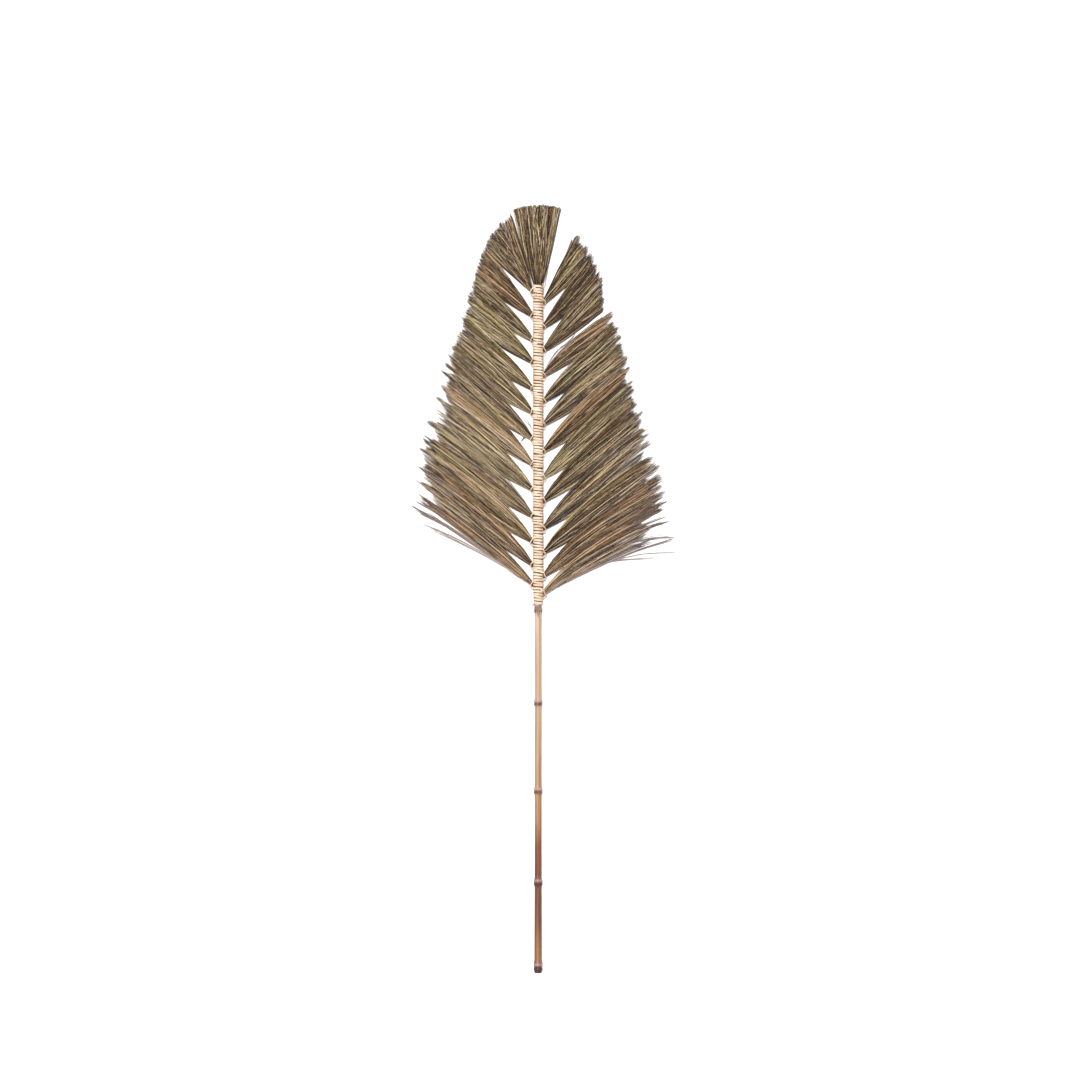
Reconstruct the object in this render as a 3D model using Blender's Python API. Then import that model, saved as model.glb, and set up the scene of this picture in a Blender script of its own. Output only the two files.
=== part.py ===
"""Dried grass plume: 27 bundles of fine grass bound to a slim bamboo cane, lying flat.

Metres, +Z up. The cane lies along Y with its cut butt at -Y, and the origin is under the middle.
"""
import math
import random
from collections import namedtuple

import bmesh
import bpy
from mathutils import Vector

MM = 0.001

# Driving dimensions of the whole plume
PLUME_LENGTH = 1500 * MM
CANE_OFFSET = -13 * MM
CLEARANCE = 0.3 * MM

# Cane: radius at each height above the cut butt, and the nodes that swell on it
CANE_SIDES = 16
CANE_TOP = 1326 * MM
CANE_TAPER = [(0, 7.5 * MM), (150 * MM, 6.8 * MM), (700 * MM, 6.4 * MM), (CANE_TOP, 5.2 * MM)]
CANE_NODES = [176 * MM, 355 * MM, 527 * MM, 708 * MM]
NODE_SWELL = 1.2 * MM
BUTT_NODE_RADIUS = 8.7 * MM
BUTT_NODE_SPAN = (8 * MM, 17 * MM)
BUTT_NODE_BLEND = 8 * MM
BUTT_ROUNDING = 0.9 * MM

# The cane's axis above the ground: level at the bundles, and lower towards its butt, which rests
AXIS_HEIGHT = 10.298 * MM
BUTT_AXIS_HEIGHT = BUTT_NODE_RADIUS * math.cos(math.pi / CANE_SIDES)
LEAN_TOP = 700 * MM

# A node's section: step along the cane in millimetres from its groove, and share of its swell
NODE_SECTION = [(-8, 0.0), (-3.2, 0.75), (-1.2, 1.0), (0.2, 0.35), (2.2, 0.95), (6.5, 0.1)]

# Binding: an oval winding of split rattan round the cane and the feet of the bundles
BINDING_SIDES = 8
BINDING_FOOT = 719 * MM
BINDING_TOP = 1346 * MM
BINDING_PITCH = 8.6 * MM
BINDING_HALF_WIDTH = 10.3 * MM
BINDING_HALF_HEIGHT = 8.9 * MM
BINDING_GROOVE = 0.8 * MM
BINDING_FOOT_SCALE = 0.90
BINDING_FOOT_RISE = 22 * MM
BINDING_SPARE_TURNS = 3

# Foot of a side bundle: a flattened round butt in a socket of the binding
FOOT_INNER = 7.9 * MM
FOOT_OUTER = 10.9 * MM
FOOT_LENGTH = 15 * MM
FOOT_HALF_HEIGHT = 4 * MM
SOCKET_SIDES = 8
SOCKET_CLEARANCE = 0.6 * MM

# Foot of the top bundle: a round stub in the binding's bore, under a wider shoulder
STUB_RADIUS = 4.9 * MM
STUB_LENGTH = 18 * MM
TOP_HALF_WIDTH = 9.6 * MM
TOP_HALF_HEIGHT = 6.5 * MM

# Fan of a bundle: blades side by side in pleats, which part towards their tips
BLADE_WIDTH = 3.7 * MM
BLADE_HALF_THICKNESS = 0.6 * MM
PLEAT = 1.4 * MM
FAN_ROWS = [0.2, 0.52, 0.87]
PLEAT_GROWN_AT = 0.25
FOOT_FADE = 1.3
LEAST_BLADES = 12
KNEE_SHARE = 0.33
STRAIGHT_REACH = 20 * MM
TIP_RAGGEDNESS = 0.07
TIP_DROOP = 1.0 * MM
SEED = 27

# Form of a bundle: distance of its fan's base from the cane's axis, half its height at the
# foot, and its tilt about its own middle
Form = namedtuple("Form", "base half_height tilt")
SIDE_FORM = Form(11 * MM, FOOT_HALF_HEIGHT, math.radians(11.5))
TOP_FORM = Form(0.0, TOP_HALF_HEIGHT, 0.0)

# Each bundle: height of its foot above the butt, then the angle from the cane (degrees)
# and the length of its upper edge and of its lower edge, and the angles at which the two
# edges leave the foot. Lengths are in millimetres.
SIDE_STARTS = (30, 65)
BUNDLE_FIELDS = "foot upper_angle upper_length lower_angle lower_length starts"
Bundle = namedtuple("Bundle", BUNDLE_FIELDS, defaults=[SIDE_STARTS])
TOP_BUNDLE = Bundle(1346, -19.6, 152, 17.2, 153, (-19.6, 17.2))
LEFT_BUNDLES = [
    Bundle(1331, 18.2, 154, 49.5, 126, (15, 50)),
    Bundle(1284, 35.5, 161, 59.0, 133),
    Bundle(1236, 41.0, 171, 62.0, 148),
    Bundle(1193, 41.0, 182, 61.0, 153),
    Bundle(1141, 42.5, 193, 58.5, 174),
    Bundle(1094, 42.0, 214, 60.0, 189),
    Bundle(1043, 42.0, 232, 58.0, 203),
    Bundle(993, 42.0, 252, 58.0, 223),
    Bundle(944, 45.0, 263, 58.5, 226),
    Bundle(892, 46.0, 272, 59.5, 251),
    Bundle(843, 46.0, 288, 58.5, 268),
    Bundle(797, 46.0, 303, 56.5, 278, (31, 58)),
    Bundle(759, 47.0, 311, 56.0, 282, (36, 55)),
]
RIGHT_BUNDLES = [
    Bundle(1309, 26.5, 149, 50.0, 129, (24, 54)),
    Bundle(1262, 33.0, 168, 54.0, 143),
    Bundle(1216, 35.5, 188, 57.0, 144),
    Bundle(1167, 46.0, 180, 60.0, 164),
    Bundle(1117, 42.0, 205, 58.0, 186),
    Bundle(1071, 43.0, 225, 58.5, 190),
    Bundle(1019, 43.0, 234, 56.0, 212),
    Bundle(968, 42.5, 250, 56.5, 224),
    Bundle(922, 42.5, 264, 58.5, 243),
    Bundle(869, 44.0, 284, 58.0, 261),
    Bundle(821, 47.5, 293, 59.0, 277),
    Bundle(776, 50.5, 300, 62.0, 272, (30, 61)),
    Bundle(741, 54.0, 297, 68.0, 280, (33, 54)),
]

# Materials: colour, roughness
BAMBOO = ("bamboo", (0.49, 0.33, 0.21, 1), 0.35)
RATTAN = ("rattan", (0.80, 0.58, 0.42, 1), 0.55)
GRASS = ("grass", (0.22, 0.16, 0.08, 1), 0.70)


def clear_scene():
    for item in list(bpy.data.objects):
        bpy.data.objects.remove(item)


def make_material(name, colour, roughness):
    material = bpy.data.materials.new(name)
    material.use_nodes = True
    shader = material.node_tree.nodes["Principled BSDF"]
    shader.inputs["Base Color"].default_value = colour
    shader.inputs["Roughness"].default_value = roughness
    shader.inputs["Metallic"].default_value = 0.0
    return material


def make_object(name, bm, material=None):
    """Turn a closed bmesh into an object whose faces point out."""
    bmesh.ops.recalc_face_normals(bm, faces=bm.faces)
    mesh = bpy.data.meshes.new(name)
    bm.to_mesh(mesh)
    bm.free()
    if material is not None:
        mesh.materials.append(material)
    item = bpy.data.objects.new(name, mesh)
    bpy.context.scene.collection.objects.link(item)
    return item


def mix(start, end, share):
    return start + (end - start) * share


def axis_height(height):
    share = (LEAN_TOP - height) / (LEAN_TOP - BUTT_NODE_SPAN[0])
    return mix(AXIS_HEIGHT, BUTT_AXIS_HEIGHT, min(1.0, max(0.0, share)))


def place(sideways, height, lift=0.0):
    """World point at a distance beside the cane's axis, up along it and above it."""
    return Vector((CANE_OFFSET + sideways, height - PLUME_LENGTH / 2, axis_height(height) + lift))


def read_taper(taper, height):
    """Radius at a height, straight between the points of a taper."""
    for (low, low_radius), (high, high_radius) in zip(taper, taper[1:]):
        if height <= high:
            return mix(low_radius, high_radius, (height - low) / (high - low))
    return taper[-1][1]


def join_rings(bm, rings):
    """Skin a row of equal rings of vertices and close both ends."""
    for lower, upper in zip(rings, rings[1:]):
        for index in range(len(lower)):
            following = (index + 1) % len(lower)
            bm.faces.new((lower[index], lower[following], upper[following], upper[index]))
    bm.faces.new(rings[0])
    bm.faces.new(rings[-1])


def turned_body(profile, sides):
    """Body of revolution round the cane's axis, with a facet that faces straight down."""
    bm = bmesh.new()
    rings = []
    for height, radius in profile:
        ring = []
        for index in range(sides):
            angle = 2 * math.pi * (index + 0.5) / sides - math.pi / 2
            ring.append(bm.verts.new(place(radius * math.cos(angle), height, radius * math.sin(angle))))
        rings.append(ring)
    join_rings(bm, rings)
    bmesh.ops.triangulate(bm, faces=bm.faces)
    return bm


def node_profile(height):
    """A bamboo node: a sheath scar, a groove and a rounded ridge."""
    radius = read_taper(CANE_TAPER, height)
    return [(height + step * MM, radius + share * NODE_SWELL) for step, share in NODE_SECTION]


def build_cane(material):
    butt_low, butt_high = BUTT_NODE_SPAN
    profile = [(0, BUTT_NODE_RADIUS - BUTT_ROUNDING)]
    profile += [(butt_low, BUTT_NODE_RADIUS), (butt_high, BUTT_NODE_RADIUS)]
    profile.append((butt_high + BUTT_NODE_BLEND, read_taper(CANE_TAPER, butt_high)))
    for height in CANE_NODES:
        profile += node_profile(height)
    profile.append((CANE_TOP, read_taper(CANE_TAPER, CANE_TOP)))
    return make_object("cane", turned_body(profile, CANE_SIDES), material)


def binding_point(row, index):
    """Point of the winding: rows are half a turn's pitch apart, ridge and groove in turn."""
    turn = index / BINDING_SIDES
    first = BINDING_FOOT - BINDING_SPARE_TURNS * BINDING_PITCH
    height = first + (row / 2 + turn) * BINDING_PITCH
    share = min(1.0, max(0.0, (height - BINDING_FOOT) / BINDING_FOOT_RISE))
    scale = mix(BINDING_FOOT_SCALE, 1.0, share)
    groove = BINDING_GROOVE if row % 2 else 0.0
    sideways = (BINDING_HALF_WIDTH * scale - groove) * math.cos(2 * math.pi * turn)
    lift = (BINDING_HALF_HEIGHT * scale - groove) * math.sin(2 * math.pi * turn)
    return place(sideways, height, lift)


def binding_body():
    """Winding left long at both ends for a clean cut.

    Each row climbs one pitch as it goes round, so it ends where the second row above it starts.
    """
    bm = bmesh.new()
    turns = (BINDING_TOP - BINDING_FOOT) / BINDING_PITCH + 2 * BINDING_SPARE_TURNS
    rows = []
    for row in range(2 * math.ceil(turns)):
        rows.append([bm.verts.new(binding_point(row, index)) for index in range(BINDING_SIDES)])
    rounds = [row + [after[0]] for row, after in zip(rows, rows[2:])]
    for lower, upper in zip(rounds, rounds[1:]):
        for index in range(BINDING_SIDES):
            bm.faces.new((lower[index], lower[index + 1], upper[index + 1]))
            bm.faces.new((lower[index], upper[index + 1], upper[index]))
    bm.faces.new(rounds[0] + [rows[1][0]])
    bm.faces.new(rounds[-1] + [rows[-2][0]])
    loose = [vertex for vertex in bm.verts if not vertex.link_faces]
    bmesh.ops.delete(bm, geom=loose, context="VERTS")
    return bm


def trim_cutter(low, high):
    """Round block that takes off the binding between two heights."""
    return turned_body([(low, 2 * BINDING_HALF_WIDTH), (high, 2 * BINDING_HALF_WIDTH)], BINDING_SIDES)


def bore_cutter():
    """The cane's own taper with clearance, open at both ends of the binding."""
    low = BINDING_FOOT - 2 * BINDING_PITCH
    high = BINDING_TOP + 2 * BINDING_PITCH
    slack = CLEARANCE / math.cos(math.pi / CANE_SIDES)
    profile = [(height, read_taper(CANE_TAPER, height) + slack) for height in (low, CANE_TOP, high)]
    return turned_body(profile, CANE_SIDES)


def socket_cutter(bundle, side):
    """Oval pocket for the foot of a side bundle."""
    bm = bmesh.new()
    rings = []
    for outward in (FOOT_INNER - CLEARANCE, 2 * BINDING_HALF_WIDTH):
        ring = []
        for index in range(SOCKET_SIDES):
            angle = 2 * math.pi * index / SOCKET_SIDES
            along = (FOOT_LENGTH / 2 + SOCKET_CLEARANCE) * math.cos(angle)
            lift = (FOOT_HALF_HEIGHT + SOCKET_CLEARANCE) * math.sin(angle)
            ring.append(bm.verts.new(place(side * outward, bundle.foot * MM + along, lift)))
        rings.append(ring)
    join_rings(bm, rings)
    return bm


def apply_difference(item, cutters):
    """Cut a collection of bodies out of an object, then remove them."""
    collection = bpy.data.collections.new("cutters")
    bpy.context.scene.collection.children.link(collection)
    for number, bm in enumerate(cutters):
        cutter = make_object(f"cutter_{number:02d}", bm)
        bpy.context.scene.collection.objects.unlink(cutter)
        collection.objects.link(cutter)
    modifier = item.modifiers.new("sockets", "BOOLEAN")
    modifier.operation = "DIFFERENCE"
    modifier.solver = "EXACT"
    modifier.operand_type = "COLLECTION"
    modifier.collection = collection
    graph = bpy.context.evaluated_depsgraph_get()
    mesh = bpy.data.meshes.new_from_object(item.evaluated_get(graph))
    item.modifiers.clear()
    item.data = mesh
    for cutter in list(collection.objects):
        bpy.data.objects.remove(cutter)
    bpy.data.collections.remove(collection)


def build_binding(material):
    item = make_object("binding", binding_body(), material)
    spare = 2 * BINDING_SPARE_TURNS * BINDING_PITCH
    ends = [(BINDING_FOOT - spare, BINDING_FOOT), (BINDING_TOP, BINDING_TOP + spare)]
    apply_difference(item, [trim_cutter(low, high) for low, high in ends])
    cutters = [bore_cutter()]
    cutters += [socket_cutter(bundle, -1) for bundle in LEFT_BUNDLES]
    cutters += [socket_cutter(bundle, 1) for bundle in RIGHT_BUNDLES]
    apply_difference(item, cutters)


def arch(across):
    """Half section of a round bundle: 0 at its edges, 1 in the middle."""
    return math.sqrt(max(0.0, 1 - (2 * across - 1) ** 2))


def fan_root(bundle, form, across):
    """Where a blade leaves the foot of its bundle: (outward from the cane's axis, height)."""
    foot = bundle.foot * MM
    if form is TOP_FORM:
        return Vector(((2 * across - 1) * TOP_HALF_WIDTH, foot + 2 * CLEARANCE))
    return Vector((FOOT_OUTER, foot + (0.5 - across) * FOOT_LENGTH))


def fan_point(bundle, form, across, along):
    """Point (outward, height) of a fan: across runs from its upper to its lower edge, along to its tips."""
    angle = mix(bundle.upper_angle, bundle.lower_angle, across)
    length = mix(bundle.upper_length, bundle.lower_length, across) * MM
    root = fan_root(bundle, form, across)
    knee = root + KNEE_SHARE * length * heading(mix(*bundle.starts, across))
    tip = Vector((form.base, bundle.foot * MM)) + length * heading(angle)
    rest = 1 - along
    return root * rest * rest + knee * 2 * rest * along + tip * along * along


def heading(degrees):
    """Unit (outward, height) at an angle from the cane."""
    return Vector((math.sin(math.radians(degrees)), math.cos(math.radians(degrees))))


def fan_row(bundle, form, blades, along):
    """Row of (outward, height, lift, half thickness) across a fan."""
    columns = [column / blades for column in range(blades + 1)]
    points = [fan_point(bundle, form, across, along) for across in columns]
    width = (points[0] - points[-1]).length
    tilt = math.tan(form.tilt) * width
    pleat = PLEAT * min(1.0, along / PLEAT_GROWN_AT)
    fade = (1 - along / FAN_ROWS[-1]) ** FOOT_FADE
    row = []
    for column, (across, point) in enumerate(zip(columns, points)):
        lift = tilt * (0.5 - across) + (pleat if column % 2 else -pleat)
        half = BLADE_HALF_THICKNESS + form.half_height * arch(across) * fade
        row.append((point.x, point.y, lift, half))
    return row


def foot_row(blades, first, last, half_height):
    """Oval row between two (outward, height) points."""
    row = []
    for column in range(blades + 1):
        across = column / blades
        point = first.lerp(last, across)
        row.append((point.x, point.y, 0.0, max(BLADE_HALF_THICKNESS, half_height * arch(across))))
    return row


def side_foot(bundle, blades):
    """Straight butt of a side bundle, from the floor of its socket to just outside the binding."""
    high = bundle.foot * MM + FOOT_LENGTH / 2
    low = high - FOOT_LENGTH
    ends = [(Vector((outward, high)), Vector((outward, low))) for outward in (FOOT_INNER, FOOT_OUTER)]
    return [foot_row(blades, first, last, FOOT_HALF_HEIGHT) for first, last in ends]


def top_foot(bundle, blades):
    """Stub of the top bundle and the shoulder over it."""
    shoulder = bundle.foot * MM + CLEARANCE
    sections = [
        (shoulder - STUB_LENGTH, STUB_RADIUS, STUB_RADIUS),
        (shoulder, STUB_RADIUS, STUB_RADIUS),
        (shoulder + CLEARANCE, TOP_HALF_WIDTH, TOP_HALF_HEIGHT),
    ]
    rows = []
    for height, half_width, half_height in sections:
        left = Vector((-half_width, height))
        right = Vector((half_width, height))
        rows.append(foot_row(blades, left, right, half_height))
    return rows


def blade_tips(bundle, form, blades, draw):
    """Seeded tip of each blade as (outward, height, lift); the edge blades keep their full length."""
    tips = []
    edge = fan_row(bundle, form, blades, FAN_ROWS[-1])
    for blade in range(blades):
        along = 1.0 - TIP_RAGGEDNESS * draw.random()
        if blade in (0, blades - 1):
            along = 1.0
        point = fan_point(bundle, form, (blade + 0.5) / blades, along)
        growth = along / FAN_ROWS[-1]
        lift = growth * (edge[blade][2] + edge[blade + 1][2]) / 2
        tips.append((point.x, point.y, lift - TIP_DROOP * draw.random()))
    return tips


def settle(rows, tips, origin):
    """Slope that lowers a fan, in proportion to the distance from its foot, onto the ground."""
    low_points = [(cell[:2], cell[2] - cell[3]) for cell in rows[-1]]
    low_points += [(tip[:2], tip[2]) for tip in tips]
    return min((AXIS_HEIGHT + lift) / (math.dist(spot, origin) - STRAIGHT_REACH) for spot, lift in low_points)


def bundle_body(rows, tips, side, origin):
    """Closed body of a pleated fan, split alike on both faces, with a point to each blade."""
    bm = bmesh.new()
    slope = settle(rows, tips, origin)

    def vertex(outward, height, lift):
        reach = max(0.0, math.dist((outward, height), origin) - STRAIGHT_REACH)
        return bm.verts.new(place(side * outward, height, lift - slope * reach))

    upper = [[vertex(x, y, lift + half) for x, y, lift, half in row] for row in rows]
    lower = [[vertex(x, y, lift - half) for x, y, lift, half in row] for row in rows]
    blades = len(tips)
    for sheet in (upper, lower):
        for near, far in zip(sheet, sheet[1:]):
            for column in range(blades):
                bm.faces.new((near[column], near[column + 1], far[column + 1]))
                bm.faces.new((near[column], far[column + 1], far[column]))
    for column in (0, blades):
        for row in range(len(rows) - 1):
            bm.faces.new((upper[row][column], lower[row][column], lower[row + 1][column]))
            bm.faces.new((upper[row][column], lower[row + 1][column], upper[row + 1][column]))
    for column in range(blades):
        bm.faces.new((upper[0][column], upper[0][column + 1], lower[0][column + 1]))
        bm.faces.new((upper[0][column], lower[0][column + 1], lower[0][column]))
    for column, point in enumerate(tips):
        tip = vertex(*point)
        ring = (upper[-1][column], upper[-1][column + 1], lower[-1][column + 1], lower[-1][column])
        for index in range(4):
            bm.faces.new((ring[index], ring[(index + 1) % 4], tip))
    return bm


def count_blades(bundle):
    """Blades that fill the fan's width at its tips."""
    spread = math.radians(bundle.lower_angle - bundle.upper_angle)
    length = (bundle.upper_length + bundle.lower_length) / 2 * MM
    return max(LEAST_BLADES, round((spread * length + FOOT_LENGTH / 2) / BLADE_WIDTH))


def build_bundle(name, bundle, form, side, draw, material):
    blades = count_blades(bundle)
    foot = top_foot(bundle, blades) if form is TOP_FORM else side_foot(bundle, blades)
    rows = foot + [fan_row(bundle, form, blades, along) for along in FAN_ROWS]
    tips = blade_tips(bundle, form, blades, draw)
    return make_object(name, bundle_body(rows, tips, side, fan_root(bundle, form, 0.5)), material)


def build_plume():
    clear_scene()
    draw = random.Random(SEED)
    grass = make_material(*GRASS)
    build_cane(make_material(*BAMBOO))
    build_binding(make_material(*RATTAN))
    build_bundle("bundle_top", TOP_BUNDLE, TOP_FORM, 1, draw, grass)
    for word, side, bundles in (("left", -1, LEFT_BUNDLES), ("right", 1, RIGHT_BUNDLES)):
        for number, bundle in enumerate(bundles, start=1):
            build_bundle(f"bundle_{word}_{number:02d}", bundle, SIDE_FORM, side, draw, grass)


build_plume()
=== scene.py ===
"""Dried grass plume: fine stalks in 27 bundles, a wound rattan strip and a glossy bamboo cane.

Metres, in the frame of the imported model: the cane lies along Y with its cut butt at -Y.
"""
import math
from collections import namedtuple

import bpy
import numpy as np
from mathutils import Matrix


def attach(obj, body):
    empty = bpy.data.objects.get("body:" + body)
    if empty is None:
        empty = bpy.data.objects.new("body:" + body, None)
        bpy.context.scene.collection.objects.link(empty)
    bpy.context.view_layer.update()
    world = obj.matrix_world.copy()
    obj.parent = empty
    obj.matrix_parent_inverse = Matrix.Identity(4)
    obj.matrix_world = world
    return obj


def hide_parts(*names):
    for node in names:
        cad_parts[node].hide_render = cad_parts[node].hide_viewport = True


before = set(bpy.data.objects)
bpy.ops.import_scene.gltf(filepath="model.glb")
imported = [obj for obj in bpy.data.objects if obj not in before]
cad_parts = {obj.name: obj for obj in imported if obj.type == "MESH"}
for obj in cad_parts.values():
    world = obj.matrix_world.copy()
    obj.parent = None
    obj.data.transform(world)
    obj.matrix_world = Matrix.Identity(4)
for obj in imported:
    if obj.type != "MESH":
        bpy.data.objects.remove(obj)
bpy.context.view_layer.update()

BODY = "root"
MM = 0.001
UP = np.array([0.0, 0.0, 1.0])

# Driving dimensions of the whole plume
PLUME_LENGTH = 1500 * MM
CANE_OFFSET = -13 * MM
AXIS_HEIGHT = 10.298 * MM
BUTT_AXIS_HEIGHT = 8.533 * MM
LEAN_SPAN = (8 * MM, 700 * MM)

# Random numbers: one seed, and a stream for each use (the bundles have 0 to 26)
SEED = 41
STRIP_STREAM = 100
HITCH_STREAM = 101
WISP_STREAM = 102

# Cane: its radius at heights above the cut butt, its nodes, and its swollen butt, which has a
# waist and a rounded edge
CANE_TOP = 1326 * MM
CANE_TAPER = [(0, 7.5 * MM), (150 * MM, 6.8 * MM), (700 * MM, 6.4 * MM), (CANE_TOP, 5.2 * MM)]
CANE_NODES = [176 * MM, 355 * MM, 527 * MM, 708 * MM]
NODE_SWELL = 1.9 * MM
BUTT_RADIUS = 8.6 * MM
BUTT_TOP = 17 * MM
BUTT_BLEND = 8 * MM
BUTT_NODE = 12 * MM
BUTT_WAIST = 11 * MM
WAIST_DEPTH = 0.8 * MM
WAIST_SPREAD = 1.6 * MM
BUTT_EDGE = 9 * MM
BUTT_EDGE_DEPTH = 1.6 * MM
BUTT_EDGE_POWER = 1.5

# Binding: outer half sizes of the wound strip
BINDING_FOOT = 719 * MM
BINDING_TOP = 1346 * MM
BINDING_HALF_WIDTH = 10.3 * MM
BINDING_HALF_HEIGHT = 8.9 * MM
BINDING_FOOT_SCALE = 0.86
BINDING_FOOT_RISE = 22 * MM

# Bundles: where they leave the binding and how they fan out
FOOT_OUTER = 10.9 * MM
FOOT_HEIGHT = 10 * MM
FOOT_HALF_DEPTH = 3.6 * MM
TOP_HALF_WIDTH = 9.6 * MM
TOP_HALF_DEPTH = 6.5 * MM
TIP_HALF_DEPTH = 1.9 * MM
KNEE_SHARE = 0.33
FADE_END = 0.87
FOOT_FADE = 1.3
TILT_GROWN_AT = 0.2
STRAIGHT_REACH = 20 * MM

# Form of a bundle: distance of its fan's base from the cane's axis, half its depth at the
# foot, and its tilt about its own middle
Form = namedtuple("Form", "base half_depth tilt")
SIDE_FORM = Form(11 * MM, FOOT_HALF_DEPTH, math.radians(11.5))
TOP_FORM = Form(0.0, TOP_HALF_DEPTH, 0.0)

# Each bundle, from the top down: height of its foot above the butt, the angle from the cane
# (degrees) and the length (millimetres) of its upper and of its lower edge, then its look: how
# much lighter or darker than most, how red (above 0) or yellow-green (below 0), and how frayed
# its tips are. Last come the angles at which its two edges leave the foot. The lighter-or-darker
# value is partly the bundle's own colour and partly painted shade: the right-hand bundles are
# made darker to stand in for light falling from the left.
SIDE_STARTS = (30, 65)
BUNDLE_FIELDS = "foot upper_angle upper_length lower_angle lower_length tone warmth fray starts"
Bundle = namedtuple("Bundle", BUNDLE_FIELDS, defaults=[SIDE_STARTS])
TOP_BUNDLE = Bundle(1346, -19.0, 156, 17.4, 157, -0.05, 0.20, 0.014, (-19.0, 17.4))
LEFT_BUNDLES = [
    Bundle(1331, 15.5, 156, 49.5, 128, -0.12, 0.15, 0.06, (12, 50)),
    Bundle(1284, 35.5, 161, 59.0, 133, -0.06, 0.50, 0.07),
    Bundle(1236, 41.0, 171, 62.0, 148, -0.08, -0.20, 0.08),
    Bundle(1193, 41.0, 182, 61.0, 153, -0.03, -0.50, 0.08),
    Bundle(1141, 42.5, 193, 58.5, 174, -0.02, -0.05, 0.12),
    Bundle(1094, 42.0, 214, 60.0, 189, 0.05, -0.10, 0.12),
    Bundle(1043, 42.0, 232, 58.0, 203, 0.02, 0.00, 0.12),
    Bundle(993, 42.0, 252, 58.0, 223, 0.04, 0.15, 0.16),
    Bundle(944, 45.0, 263, 58.5, 226, 0.02, 0.00, 0.18),
    Bundle(892, 46.0, 272, 59.5, 251, 0.01, -0.25, 0.14),
    Bundle(843, 46.0, 288, 58.5, 268, 0.01, 0.00, 0.14),
    Bundle(797, 46.0, 303, 56.5, 278, 0.00, 0.50, 0.20, (31, 58)),
    Bundle(759, 47.0, 311, 56.0, 282, 0.00, 0.60, 0.36, (36, 55)),
]
# The lower tones of these right-hand bundles are partly painted shade, for light falling from the left.
RIGHT_BUNDLES = [
    Bundle(1309, 26.5, 149, 50.0, 129, -0.17, -0.30, 0.10, (24, 54)),
    Bundle(1262, 33.0, 168, 54.0, 143, -0.19, 0.05, 0.07),
    Bundle(1216, 35.5, 188, 57.0, 144, -0.17, 0.00, 0.07),
    Bundle(1167, 46.0, 180, 60.0, 164, -0.05, 0.50, 0.12),
    Bundle(1117, 42.0, 205, 58.0, 186, -0.15, -0.10, 0.10),
    Bundle(1071, 43.0, 225, 58.5, 190, -0.13, 0.00, 0.10),
    Bundle(1019, 43.0, 234, 56.0, 212, -0.06, 0.45, 0.12),
    Bundle(968, 42.5, 250, 56.5, 224, -0.06, -0.45, 0.12),
    Bundle(922, 42.5, 264, 58.5, 243, -0.10, 0.10, 0.10),
    Bundle(869, 44.0, 284, 58.0, 261, -0.16, -0.10, 0.24),
    Bundle(821, 47.5, 293, 59.0, 277, -0.18, 0.20, 0.16),
    Bundle(776, 50.5, 300, 62.0, 272, -0.09, 0.40, 0.16, (30, 61)),
    Bundle(741, 54.0, 297, 68.0, 280, -0.06, 0.40, 0.38, (33, 54)),
]
SIDES = [("left", -1, LEFT_BUNDLES), ("right", 1, RIGHT_BUNDLES)]

# Strands of a bundle: groups of stalks that share a layer, a length and much of their route.
# Tones run from 0 (dark) to 1 (light) and layers from -1 (lowest) to 1. Places across are shares
# of the bundle's width, and lengths and starts are shares of a stalk's route.
STRAND_PITCH = 0.6 * MM
STRAND_JITTER = 0.45
STRAND_CROSSING = 0.30
MEAN_TONE = 0.18
STRAND_TONE = 0.12
STRAND_WARMTH = 0.22
LAYER_REACH = 0.85
# Painted shade: strands lower in a bundle are given a darker tone, as if shadowed by those above.
LAYER_PAINTED_SHADE = 0.10
LOCK_WIDTH = 9 * MM
LOCK_TONE = 0.02
LOCK_WARMTH = 0.32
TUFT_WIDTH = 4.5 * MM
TUFT_PULL = 0.12
TUFT_SHARE = 0.7
OVERREACH = 0.3
LONGEST_OVERREACH = 0.04
STRAY_SHARE = 0.12
STRAY_REACH = 0.10
FEATHER_SHARE = 3.0
FEATHER_DEPTHS = (0.3, 2.0)
FEATHER_SKEW = 0.45
RAGGED_SHAPE = (1.0, 2.2)
FADING_PER_FRAY = 2.4
GREY_SHARE = 0.06

# Stalks: half of them leave the binding, the others branch off on the way
STALKS_IN_STRAND = 4
STALK_TONE = 0.48
STATION_TONE = 0.12
STALK_SPREAD = 1.1 * MM
STALK_ROOT_SPREAD = 0.08
STALK_LAYER_SPREAD = 0.12
STALK_BOW = 0.008
STALK_RAGGEDNESS = 0.02
FOOT_FADING = 0.35
STALK_WIDTHS = (0.75, 1.3)
MAIN_SHARE = 0.5
BRANCH_STARTS = (0.06, 0.62)
BURIED_LENGTH = 7 * MM
STATIONS = np.array([0, 0.2, 0.42, 0.64, 0.84, 0.98, 1])
MAIN_RADII = np.array([0.40, 0.46, 0.52, 0.52, 0.48, 0.38, 0]) * MM
BRANCH_RADII = np.array([0.28, 0.36, 0.42, 0.42, 0.40, 0.32, 0]) * MM

# Hairs near the tips, more of them on the more frayed bundles
HAIRS_PER_FRAY = 2600
HAIR_LENGTHS = (7 * MM, 20 * MM)
HAIR_STATIONS = np.array([0, 0.5, 0.95, 1])
HAIR_RADII = np.array([0.2, 0.18, 0.12, 0]) * MM
HAIR_TURN = math.radians(8)
HAIR_CURL = math.radians(6)
HAIR_TONE = 0.06
HAIR_FADING = 0.7

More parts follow.
